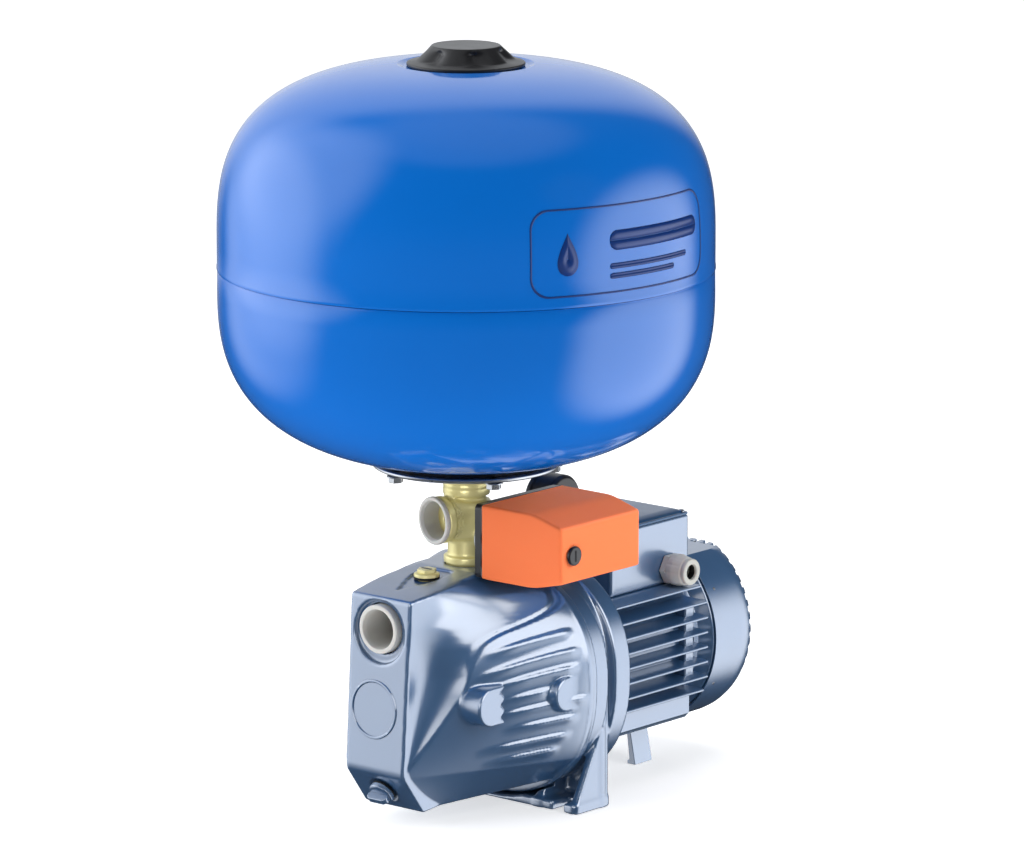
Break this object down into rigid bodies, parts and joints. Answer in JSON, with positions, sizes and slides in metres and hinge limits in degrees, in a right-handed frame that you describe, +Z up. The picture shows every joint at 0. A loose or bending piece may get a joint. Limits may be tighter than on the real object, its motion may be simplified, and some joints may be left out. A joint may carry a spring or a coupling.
{
  "type": "jet pump pressure set",
  "caption": "Cast jet pump and finned motor on one foot, with a brass manifold, pressure gauge, orange pressure switch and a round membrane tank standing on the delivery port.",
  "frame": {"origin": "on the floor, under the middle of the set's bounding box", "axes": "+Z up; +Y along the shaft from the suction port to the fan; +X towards the switch cover and the cable gland"},
  "size_m": [0.36, 0.436, 0.5595],
  "materials": {
    "cast_enamel": "metallic blue-grey enamel over a casting",
    "lid_enamel": "dark blue enamel",
    "brass": "cast brass, turned at its ends",
    "bright_steel": "turned and zinc-plated steel",
    "zinc_steel": "pressed and galvanised steel",
    "core_steel": "stacked electrical steel",
    "copper_winding": "enamelled copper wire",
    "light_plastic": "moulded light grey plastic",
    "dark_plastic": "moulded black plastic",
    "rubber": "black rubber",
    "gland_plastic": "moulded warm grey plastic",
    "orange_cover": "moulded orange plastic, fine grain",
    "tank_paint": "glossy blue powder coat"
  },
  "bodies": {
    "pump_body": {"pump_casing": "cast_enamel", "suction_port_insert": "light_plastic", "jet_nozzle": "brass", "venturi_tube": "light_plastic", "guide_wheel": "light_plastic", "shaft_seal_seat": "light_plastic", "casing_gasket": "rubber", "motor_bracket": "cast_enamel", "casing_bolt_1": "bright_steel", "casing_bolt_2": "bright_steel", "casing_bolt_3": "bright_steel", "casing_bolt_4": "bright_steel", "motor_foot": "cast_enamel", "front_bearing_outer_race": "bright_steel", "rear_bearing_outer_race": "bright_steel", "stator_core": "core_steel", "stator_winding": "copper_winding", "motor_frame": "cast_enamel", "rear_end_shield": "cast_enamel", "fan_cover": "cast_enamel", "terminal_box": "cast_enamel", "terminal_box_lid": "lid_enamel", "terminal_block": "dark_plastic", "run_capacitor": "light_plastic", "gland_body": "gland_plastic", "gland_nut": "gland_plastic", "manifold_body": "brass", "outlet_liner": "light_plastic", "gauge_case": "dark_plastic", "switch_base": "dark_plastic", "contact_block": "dark_plastic", "tank_upper_shell": "tank_paint", "tank_lower_shell": "tank_paint", "tank_membrane": "rubber", "tank_flange": "zinc_steel", "flange_bolt_1": "bright_steel", "flange_bolt_2": "bright_steel", "flange_bolt_3": "bright_steel", "flange_bolt_4": "bright_steel", "flange_bolt_5": "bright_steel", "air_valve": "brass"},
    "rotor": {"rotor_shaft": "bright_steel", "rotor_core": "core_steel", "impeller": "brass", "impeller_nut": "brass", "shaft_seal_rotor": "rubber", "cooling_fan": "dark_plastic", "front_bearing_inner_race": "bright_steel", "rear_bearing_inner_race": "bright_steel"},
    "filler_gasket": {"filler_plug_gasket": "rubber"},
    "filler_plug": {"filler_plug": "brass"},
    "drain_gasket": {"drain_plug_gasket": "rubber"},
    "drain_plug": {"drain_plug": "cast_enamel"},
    "gauge_needle": {"gauge_needle": "dark_plastic"},
    "switch_cover": {"switch_cover": "orange_cover"},
    "cover_screw": {"switch_cover_screw": "dark_plastic"},
    "switch_lever": {"switch_lever": "bright_steel"},
    "switch_plunger": {"switch_plunger": "bright_steel"},
    "valve_pin": {"air_valve_pin": "bright_steel"},
    "tank_cap": {"tank_cap": "dark_plastic"}
  },
  "joints": [
    {"name": "rotor_spin", "type": "hinge", "parent": "pump_body", "child": "rotor", "pos_m": [0, 0, 0.096], "axis": [0, 1, 0], "continuous": true},
    {"name": "filler_lift", "type": "slide", "parent": "pump_body", "child": "filler_gasket", "axis": [0, 0, 1], "range_m": [0, 0.0089]},
    {"name": "filler_turn", "type": "hinge", "parent": "filler_gasket", "child": "filler_plug", "pos_m": [0, -0.082, 0.18], "axis": [0, 0, 1], "range_deg": [0, 2400]},
    {"name": "drain_lift", "type": "slide", "parent": "pump_body", "child": "drain_gasket", "axis": [0, -0.8064, -0.5914], "range_m": [0, 0.0089]},
    {"name": "drain_turn", "type": "hinge", "parent": "drain_gasket", "child": "drain_plug", "pos_m": [0, -0.129, 0.027], "axis": [0, -0.8064, -0.5914], "range_deg": [0, 2400]},
    {"name": "needle_turn", "type": "hinge", "parent": "pump_body", "child": "gauge_needle", "pos_m": [-0.003, 0.052, 0.213], "axis": [1, 0, 0], "range_deg": [0, 270], "stiffness_Nm_per_rad": 0.00002},
    {"name": "cover_pull", "type": "slide", "parent": "pump_body", "child": "switch_cover", "axis": [1, 0, 0], "range_m": [0, 0.08]},
    {"name": "cover_screw_turn", "type": "hinge", "parent": "switch_cover", "child": "cover_screw", "pos_m": [0.11, -0.0485, 0.2025], "axis": [1, 0, 0], "range_deg": [0, 1080]},
    {"name": "lever_swing", "type": "hinge", "parent": "pump_body", "child": "switch_lever", "pos_m": [0.04, 0, 0.191], "axis": [0, 1, 0], "range_deg": [0, 4.8], "stiffness_Nm_per_rad": 2, "springref_deg": -5.73},
    {"name": "plunger_push", "type": "slide", "parent": "pump_body", "child": "switch_plunger", "axis": [1, 0, 0], "range_m": [0, 0.0012]},
    {"name": "valve_pin_push", "type": "slide", "parent": "pump_body", "child": "valve_pin", "axis": [0, 0, -1], "range_m": [0, 0.0015], "stiffness_N_per_m": 400},
    {"name": "cap_lift", "type": "slide", "parent": "pump_body", "child": "tank_cap", "axis": [0, 0, 1], "range_m": [0, 0.03]}
  ],
  "couplings": [
    {"joint": "filler_turn", "follows": "filler_lift", "rad_per_m": 4700},
    {"joint": "drain_turn", "follows": "drain_lift", "rad_per_m": 4700},
    {"joint": "plunger_push", "follows": "lever_swing", "m_per_rad": 0.013}
  ]
}
